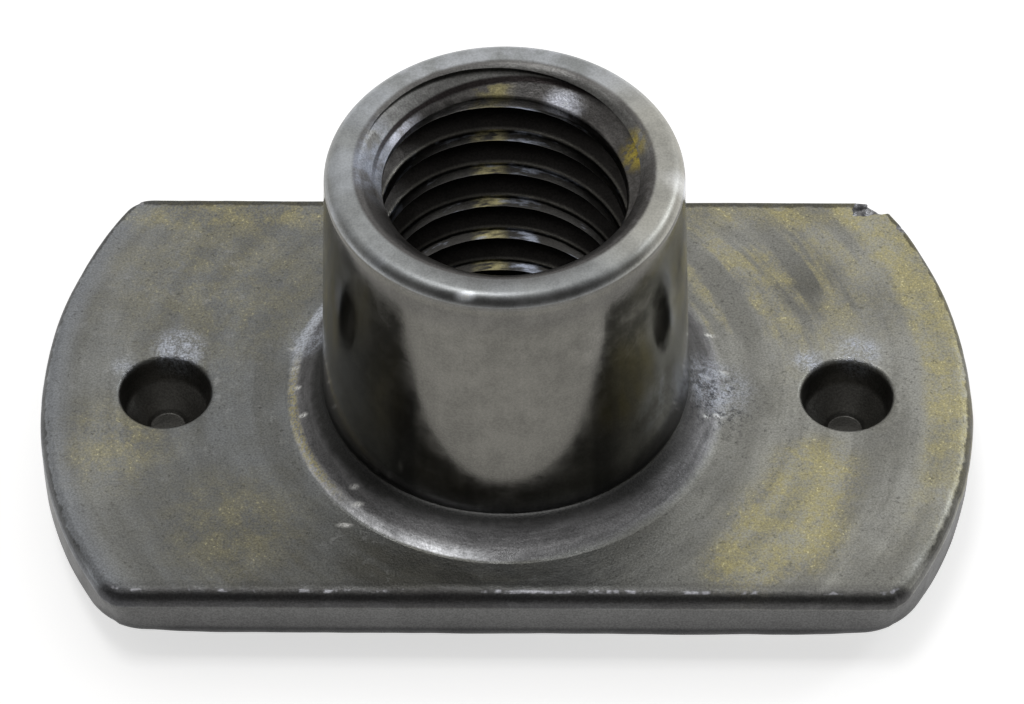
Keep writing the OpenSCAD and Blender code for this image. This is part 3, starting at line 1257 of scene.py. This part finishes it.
@dataclass
class Projection:
    """A weld projection with the blind pocket that its punch left above it."""

    x: float
    base_r: float = 2.0
    height: float = 1.0
    pocket_r: float = 1.5
    dish_r: float = 2.4
    dish: float = 0.05
    depth: float = 1.85
    floor_r: float = 0.58
    steps: int = 72

    def pocket_section(self) -> Line:
        """Gives the half section of the pocket.

        Returns:
            Its points, from the top face down to the middle of its floor.
        """
        floor_z = TOP_Z - self.depth
        return rounded([
            (self.dish_r + 0.15, TOP_Z, 0),
            (self.dish_r, TOP_Z, 0.6),
            (self.pocket_r + 0.06, TOP_Z - self.dish, 0.22),
            (self.pocket_r, TOP_Z - 0.6, 0.3),
            (self.pocket_r - 0.1, TOP_Z - self.depth * 0.55, 0.35),
            (self.floor_r, floor_z, 0.08),
            (self.floor_r * 0.5, floor_z + 0.02, 0),
            (0, floor_z + 0.03, 0)])

    def dome_section(self) -> Line:
        """Gives the half section of the dome.

        Returns:
            Its points, from the underside down to its tip.
        """
        ball_r = (self.base_r**2 + self.height**2) / (2 * self.height)
        reach = math.asin(self.base_r / ball_r)
        dome = [(ball_r * math.sin(a), UNDER_Z - self.height + ball_r * (1 - math.cos(a)), 0)
                for a in (reach * (1 - k / 12) for k in range(13))]
        dome[0] = (*dome[0][:2], 0.10)
        return rounded([(self.base_r + 0.35, UNDER_Z, 0), *dome])

    def build(self) -> list[Piece]:
        """Turns the pocket and the dome.

        Returns:
            The two pieces, open where they meet the plate.
        """
        pieces = [Piece.turned("pocket", self.pocket_section(), self.steps, self.x),
                  Piece.turned("projection", self.dome_section(), self.steps, self.x)]
        log.info("projection at x %.2f", self.x)
        return pieces


@dataclass
class Thread:
    """The 60-degree thread of the bore, as the shape of the tap that cuts it."""

    minor_r: float = 4.0
    major_r: float = 4.7625
    pitch: float = 1.5875
    turns: int = 11
    start_z: float = -1.47
    steps: int = 144

    def tooth(self) -> Line:
        """Gives one pitch of the groove's section.

        Returns:
            Its points (radius, height), from the middle of one crest to the next.
        """
        root = self.pitch / 8
        flank = (self.major_r - self.minor_r) * math.tan(math.radians(30))
        crest = (self.pitch - root - 2 * flank) / 2
        return rounded([
            (self.minor_r, 0, 0), (self.minor_r, crest, 0.16),
            (self.major_r, crest + flank, 0.09), (self.major_r, crest + flank + root, 0.09),
            (self.minor_r, self.pitch - crest, 0.16), (self.minor_r, self.pitch, 0)], 15.0)

    def build(self) -> Piece:
        """Draws one tooth, winds it into a screw and closes its two ends.

        Returns:
            The tap, a closed piece.
        """
        tap = Piece.drawn("tap", self.tooth(), up=self.start_z)
        tap.modify("SCREW", axis="Z", angle=TAU, screw_offset=self.pitch, iterations=self.turns,
                   steps=self.steps, render_steps=self.steps, use_smooth_shade=False)
        with tap.editing():
            tap.close_seams()
            middle = self.start_z + self.pitch * (self.turns + 1) / 2
            for above in (False, True):
                tap.pick_open_edges(lambda co: (co.z > middle) == above)
                bpy.ops.mesh.extrude_region()
                bpy.ops.mesh.merge(type="CENTER")
            bpy.ops.mesh.select_mode(type="VERT")
            tap.face_outwards()
            tap.nudge(self.tearing)
        log.info("tap: %d turns of %.4f mm", self.turns, self.pitch)
        return tap

    def tearing(self, at: Vector) -> Vector:
        """Gives the roughness that the tap leaves in soft steel.

        Args:
            at: A place on the tap.

        Returns:
            The move of that place.
        """
        across = Vector((at.x, at.y, 0))
        if across.length < 3.5:
            return Vector((0, 0, 0))
        rub = 0.012 * ripple(at.x * 1.7, at.y * 1.7, at.z * 1.7, 10) + 0.008 * ripple(*(at * 5.0), 11)
        return across.normalized() * rub


@dataclass(frozen=True)
class Chip:
    """A place where the plate's edge is nicked or torn."""

    at: tuple[float, float, float]
    size: tuple[float, float, float]
    turn: float = 0.0
    rough: float = 0.25

    def lumpiness(self, co: Vector) -> Vector:
        """Gives how far a point of the unit ball moves out or in.

        Args:
            co: The point.

        Returns:
            Its move.
        """
        here = Vector(self.at)
        return co * self.rough * (ripple(*(co * 1.3 + here), 12) + 0.5 * ripple(*(co * 3.2 + here), 13))

    def build(self) -> Piece:
        """Makes the lump that is cut away.

        Returns:
            The lump, a closed piece.
        """
        bpy.ops.mesh.primitive_ico_sphere_add(subdivisions=4, radius=1.0, location=(0, 0, 0))
        lump = Piece(bpy.context.object, "chip")
        with lump.editing():
            bpy.ops.mesh.select_all(action="SELECT")
            lump.nudge(self.lumpiness)
            bpy.ops.transform.resize(value=self.size)
            bpy.ops.transform.rotate(value=math.radians(self.turn), orient_axis="Z",
                                     center_override=(0, 0, 0))
            bpy.ops.transform.translate(value=self.at)
            lump.face_outwards()
        return lump


@dataclass
class WeldNut:
    """The whole nut, one piece of steel."""

    plate: Plate = field(default_factory=Plate)
    barrel: Barrel = field(default_factory=Barrel)
    thread: Thread = field(default_factory=Thread)
    projections: tuple[Projection, ...] = (Projection(-11.575), Projection(11.575))
    chips: tuple[Chip, ...] = (
        Chip((13.00, 8.92, 3.38), (1.15, 0.60, 0.42), -32, 0.35),
        Chip((13.92, 8.02, 3.38), (0.62, 0.34, 0.34), -60, 0.35),
        Chip((14.30, 7.25, 3.42), (0.17, 0.34, 0.24), 28),
        Chip((14.86, 5.90, 3.42), (0.15, 0.30, 0.22), 20),
        Chip((-13.02, 8.82, 3.40), (0.32, 0.20, 0.22), 25),
        Chip((-7.92, 9.04, 3.38), (0.32, 0.26, 0.22), 0),
        Chip((-15.42, 4.20, 3.36), (0.20, 0.30, 0.22), 10),
        Chip((-14.93, 5.60, 3.40), (0.16, 0.24, 0.20), -20),
    )

    def close_faces(self, nut: Piece) -> None:
        """Fills the top face and the underside between the joined pieces.

        Args:
            nut: The joined pieces.
        """
        with nut.editing():
            for level in (TOP_Z, UNDER_Z):
                nut.pick_open_edges(lambda co: abs(co.z - level) < 1e-3)
                bpy.ops.mesh.fill(use_beauty=True)
            bpy.ops.mesh.select_mode(type="VERT")
            nut.close_seams()
            nut.face_outwards()

    def build(self) -> Piece:
        """Builds the nut, cuts its thread and chips, and brings it to metres.

        Returns:
            The nut.
        """
        nut = self.plate.build()
        parts = [self.barrel.build()]
        for projection in self.projections:
            parts += projection.build()
        nut.join(parts)
        self.close_faces(nut)
        nut.finishes(Finish.FORMED)

        tap = self.thread.build()
        tap.finishes(Finish.FORMED)
        nut.cut(tap)
        chips = [chip.build() for chip in self.chips]
        chips[0].join(chips[1:])
        chips[0].finishes(Finish.TORN)
        nut.cut(chips[0])
        self.smooth(nut)
        log.info("weld nut: %d faces", len(nut.obj.data.polygons))
        return nut

    def smooth(self, nut: Piece) -> None:
        """Smooths the shading, weighs it by area, and brings the nut to metres.

        Args:
            nut: The nut in millimetres.
        """
        with nut.editing():
            nut.close_seams(2e-4)
            bpy.ops.mesh.select_all(action="SELECT")
            bpy.ops.transform.resize(value=(TO_METRES,) * 3, center_override=(0, 0, 0))
        nut.obj.name = nut.obj.data.name = "weld_nut_steel"
        bpy.ops.object.shade_smooth_by_angle(angle=math.radians(38))
        nut.modify("WEIGHTED_NORMAL", keep_sharp=True, weight=60)
        number = nut.obj.data.attributes.get("number")
        if number:
            nut.obj.data.attributes.remove(number)

    def dress(self, nut: Piece) -> None:
        """Puts the nut in the frame in place of its solid.

        Args:
            nut: The finished nut.
        """
        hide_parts("weld_nut")
        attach(nut.obj, "root")


# ---------------------------------------------------------------- the studio


@dataclass(frozen=True)
class Lamp:
    """A soft box."""

    name: str
    azimuth: float
    elevation: float
    distance: float
    size: tuple[float, float]
    power: float
    tint: tuple[float, float, float] = (1.0, 1.0, 1.0)

    def build(self) -> None:
        """Hangs the lamp, turned towards the nut."""
        a, e = math.radians(self.azimuth), math.radians(self.elevation)
        place = Vector((math.cos(a) * math.cos(e), math.sin(a) * math.cos(e), math.sin(e))) * self.distance
        data = bpy.data.lights.new(self.name, "AREA")
        data.shape = "RECTANGLE"
        data.size, data.size_y = self.size
        data.energy = self.power
        data.color = self.tint
        lamp = bpy.data.objects.new(self.name, data)
        lamp.location = place
        lamp.rotation_euler = place.to_track_quat("Z", "Y").to_euler()
        bpy.context.scene.collection.objects.link(lamp)


@dataclass
class Studio:
    """Pale floor, soft light and the camera."""

    lamps: tuple[Lamp, ...] = (
        Lamp("ceiling", 175, 82, 0.60, (0.16, 0.14), 0.6),
        Lamp("window", 27, 35, 0.60, (0.12, 0.16), 0.35, (0.92, 0.96, 1.0)),
    )
    elevation: float = 48.31
    azimuth: float = 0.762
    roll: float = 0.325
    distance: float = 0.174589
    lens: float = 179.53
    target: Place = (0.000187, 0.001827, 0.00328)
    floor_size: float = 6.0

    def floor(self) -> None:
        """Lays the floor at the tips of the projections."""
        bpy.ops.mesh.primitive_plane_add(size=1.0)
        floor = Piece(bpy.context.object, "floor")
        with floor.editing():
            bpy.ops.mesh.select_all(action="SELECT")
            bpy.ops.transform.resize(value=(self.floor_size, self.floor_size, 1.0),
                                     center_override=(0, 0, 0))
        floor.obj.data.materials.append(FloorFinish().build())

    def world(self) -> None:
        """Gives the room: pale behind the nut, dim towards the camera."""
        world = bpy.data.worlds.new("room")
        bpy.context.scene.world = world
        world.use_nodes = True
        s = Shader(world.node_tree)
        x, y, z = s.axes(s.node("ShaderNodeTexCoord", out="Generated"))
        back = y.ramp(-0.35, 0.75)
        light = 0.10 + back * 0.62 + z.ramp(0.55, 1.0) * 0.16 + x.ramp(0.0, 0.9) * back * 0.20
        sky = s.node("ShaderNodeBackground", None, {"Color": (1.0, 0.99, 0.97, 1), "Strength": light})
        s.node("ShaderNodeOutputWorld", None, {"Surface": sky})

    def camera(self) -> None:
        """Sets up the camera."""
        e, a, r = (math.radians(v) for v in (self.elevation, self.azimuth, self.roll))
        back = Vector((math.sin(a) * math.cos(e), -math.cos(a) * math.cos(e), math.sin(e)))
        right = Vector((math.cos(a), math.sin(a), 0))
        up = back.cross(right)
        across = right * math.cos(r) - up * math.sin(r)
        upright = right * math.sin(r) + up * math.cos(r)
        data = bpy.data.cameras.new("camera")
        data.sensor_width = 36
        data.lens = self.lens
        data.clip_start = 0.01
        data.clip_end = 20
        camera = bpy.data.objects.new("camera", data)
        turn = Matrix((across, upright, back)).transposed().to_4x4()
        camera.matrix_world = Matrix.Translation(Vector(self.target) + back * self.distance) @ turn
        bpy.context.scene.collection.objects.link(camera)
        bpy.context.scene.camera = camera

    def build(self) -> None:
        """Sets up the floor, the room, the lamps and the camera."""
        bpy.context.scene.view_settings.view_transform = "Standard"
        self.floor()
        self.world()
        for lamp in self.lamps:
            lamp.build()
        self.camera()
        log.info("studio: %d lamps", len(self.lamps))


def main() -> None:
    """Builds the nut and the studio."""
    logging.basicConfig(level=logging.INFO, format="%(name)s: %(message)s")
    bpy.ops.object.select_all(action="DESELECT")
    weld_nut = WeldNut()
    nut = weld_nut.build()
    weld_nut.dress(nut)
    Studio().build()


if __name__ == "__main__":
    main()
